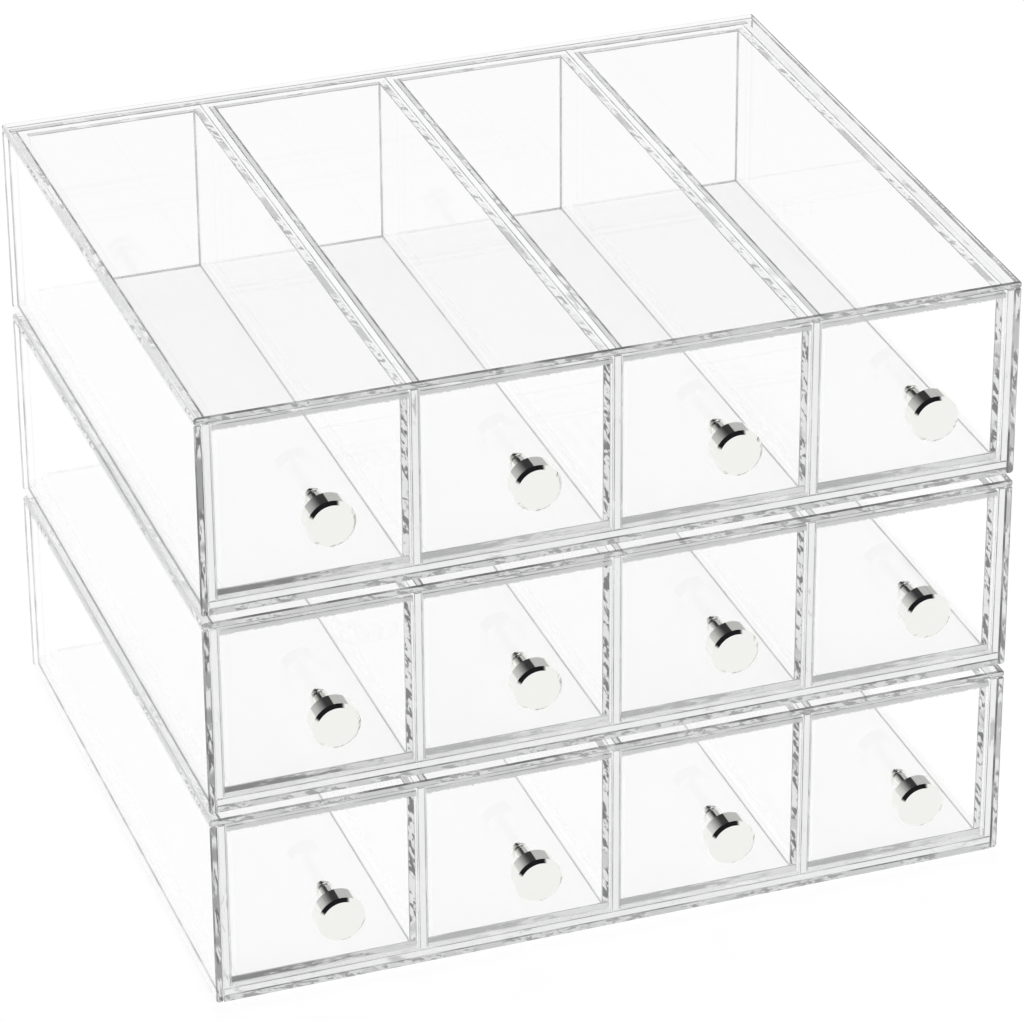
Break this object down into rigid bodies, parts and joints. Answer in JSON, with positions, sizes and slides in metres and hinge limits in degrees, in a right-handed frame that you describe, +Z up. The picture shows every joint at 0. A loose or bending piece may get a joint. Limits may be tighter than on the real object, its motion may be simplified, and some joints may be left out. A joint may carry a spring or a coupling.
{
  "type": "drawer organizer",
  "caption": "Clear acrylic organizer of stacked units with long narrow drawers side by side, each with a round metal knob.",
  "frame": {"origin": "middle of the overall width and depth, knobs included, on the surface the organizer stands on", "axes": "+X to the right, +Y to the back, +Z up; the drawers open towards -Y"},
  "size_m": [0.224, 0.204, 0.1755],
  "materials": {
    "casing_acrylic": "clear, polished faces, saw-cut edges",
    "bay_acrylic": "clear, polished faces, pale polished edges",
    "drawer_acrylic": "clear, polished faces, saw-cut edges",
    "foot_pad": "clear, soft",
    "knob_chrome": "polished"
  },
  "bodies": {
    "lower_unit": {"lower_casing_top": "casing_acrylic", "lower_casing_base": "casing_acrylic", "lower_casing_left_side": "casing_acrylic", "lower_casing_right_side": "casing_acrylic", "lower_casing_back": "casing_acrylic", "lower_bay_floor": "bay_acrylic", "lower_bay_walls": "bay_acrylic", "lower_feet": "foot_pad"},
    "lower_drawer_1": {"lower_drawer_1_front": "drawer_acrylic", "lower_drawer_1_tray": "drawer_acrylic", "lower_drawer_1_knob": "knob_chrome"},
    "lower_drawer_2": {"lower_drawer_2_front": "drawer_acrylic", "lower_drawer_2_tray": "drawer_acrylic", "lower_drawer_2_knob": "knob_chrome"},
    "lower_drawer_3": {"lower_drawer_3_front": "drawer_acrylic", "lower_drawer_3_tray": "drawer_acrylic", "lower_drawer_3_knob": "knob_chrome"},
    "lower_drawer_4": {"lower_drawer_4_front": "drawer_acrylic", "lower_drawer_4_tray": "drawer_acrylic", "lower_drawer_4_knob": "knob_chrome"},
    "middle_unit": {"middle_casing_top": "casing_acrylic", "middle_casing_base": "casing_acrylic", "middle_casing_left_side": "casing_acrylic", "middle_casing_right_side": "casing_acrylic", "middle_casing_back": "casing_acrylic", "middle_bay_floor": "bay_acrylic", "middle_bay_walls": "bay_acrylic", "middle_feet": "foot_pad"},
    "middle_drawer_1": {"middle_drawer_1_front": "drawer_acrylic", "middle_drawer_1_tray": "drawer_acrylic", "middle_drawer_1_knob": "knob_chrome"},
    "middle_drawer_2": {"middle_drawer_2_front": "drawer_acrylic", "middle_drawer_2_tray": "drawer_acrylic", "middle_drawer_2_knob": "knob_chrome"},
    "middle_drawer_3": {"middle_drawer_3_front": "drawer_acrylic", "middle_drawer_3_tray": "drawer_acrylic", "middle_drawer_3_knob": "knob_chrome"},
    "middle_drawer_4": {"middle_drawer_4_front": "drawer_acrylic", "middle_drawer_4_tray": "drawer_acrylic", "middle_drawer_4_knob": "knob_chrome"},
    "upper_unit": {"upper_casing_top": "casing_acrylic", "upper_casing_base": "casing_acrylic", "upper_casing_left_side": "casing_acrylic", "upper_casing_right_side": "casing_acrylic", "upper_casing_back": "casing_acrylic", "upper_bay_floor": "bay_acrylic", "upper_bay_walls": "bay_acrylic", "upper_feet": "foot_pad"},
    "upper_drawer_1": {"upper_drawer_1_front": "drawer_acrylic", "upper_drawer_1_tray": "drawer_acrylic", "upper_drawer_1_knob": "knob_chrome"},
    "upper_drawer_2": {"upper_drawer_2_front": "drawer_acrylic", "upper_drawer_2_tray": "drawer_acrylic", "upper_drawer_2_knob": "knob_chrome"},
    "upper_drawer_3": {"upper_drawer_3_front": "drawer_acrylic", "upper_drawer_3_tray": "drawer_acrylic", "upper_drawer_3_knob": "knob_chrome"},
    "upper_drawer_4": {"upper_drawer_4_front": "drawer_acrylic", "upper_drawer_4_tray": "drawer_acrylic", "upper_drawer_4_knob": "knob_chrome"}
  },
  "joints": [
    {"name": "lower_drawer_1_slide", "type": "slide", "parent": "lower_unit", "child": "lower_drawer_1", "axis": [0, -1, 0], "range_m": [0, 0.15]},
    {"name": "lower_drawer_2_slide", "type": "slide", "parent": "lower_unit", "child": "lower_drawer_2", "axis": [0, -1, 0], "range_m": [0, 0.15]},
    {"name": "lower_drawer_3_slide", "type": "slide", "parent": "lower_unit", "child": "lower_drawer_3", "axis": [0, -1, 0], "range_m": [0, 0.15]},
    {"name": "lower_drawer_4_slide", "type": "slide", "parent": "lower_unit", "child": "lower_drawer_4", "axis": [0, -1, 0], "range_m": [0, 0.15]},
    {"name": "middle_unit_lift", "type": "slide", "parent": "lower_unit", "child": "middle_unit", "axis": [0, 0, 1], "range_m": [0, 0.08]},
    {"name": "middle_drawer_1_slide", "type": "slide", "parent": "middle_unit", "child": "middle_drawer_1", "axis": [0, -1, 0], "range_m": [0, 0.15]},
    {"name": "middle_drawer_2_slide", "type": "slide", "parent": "middle_unit", "child": "middle_drawer_2", "axis": [0, -1, 0], "range_m": [0, 0.15]},
    {"name": "middle_drawer_3_slide", "type": "slide", "parent": "middle_unit", "child": "middle_drawer_3", "axis": [0, -1, 0], "range_m": [0, 0.15]},
    {"name": "middle_drawer_4_slide", "type": "slide", "parent": "middle_unit", "child": "middle_drawer_4", "axis": [0, -1, 0], "range_m": [0, 0.15]},
    {"name": "upper_unit_lift", "type": "slide", "parent": "middle_unit", "child": "upper_unit", "axis": [0, 0, 1], "range_m": [0, 0.08]},
    {"name": "upper_drawer_1_slide", "type": "slide", "parent": "upper_unit", "child": "upper_drawer_1", "axis": [0, -1, 0], "range_m": [0, 0.15]},
    {"name": "upper_drawer_2_slide", "type": "slide", "parent": "upper_unit", "child": "upper_drawer_2", "axis": [0, -1, 0], "range_m": [0, 0.15]},
    {"name": "upper_drawer_3_slide", "type": "slide", "parent": "upper_unit", "child": "upper_drawer_3", "axis": [0, -1, 0], "range_m": [0, 0.15]},
    {"name": "upper_drawer_4_slide", "type": "slide", "parent": "upper_unit", "child": "upper_drawer_4", "axis": [0, -1, 0], "range_m": [0, 0.15]}
  ]
}
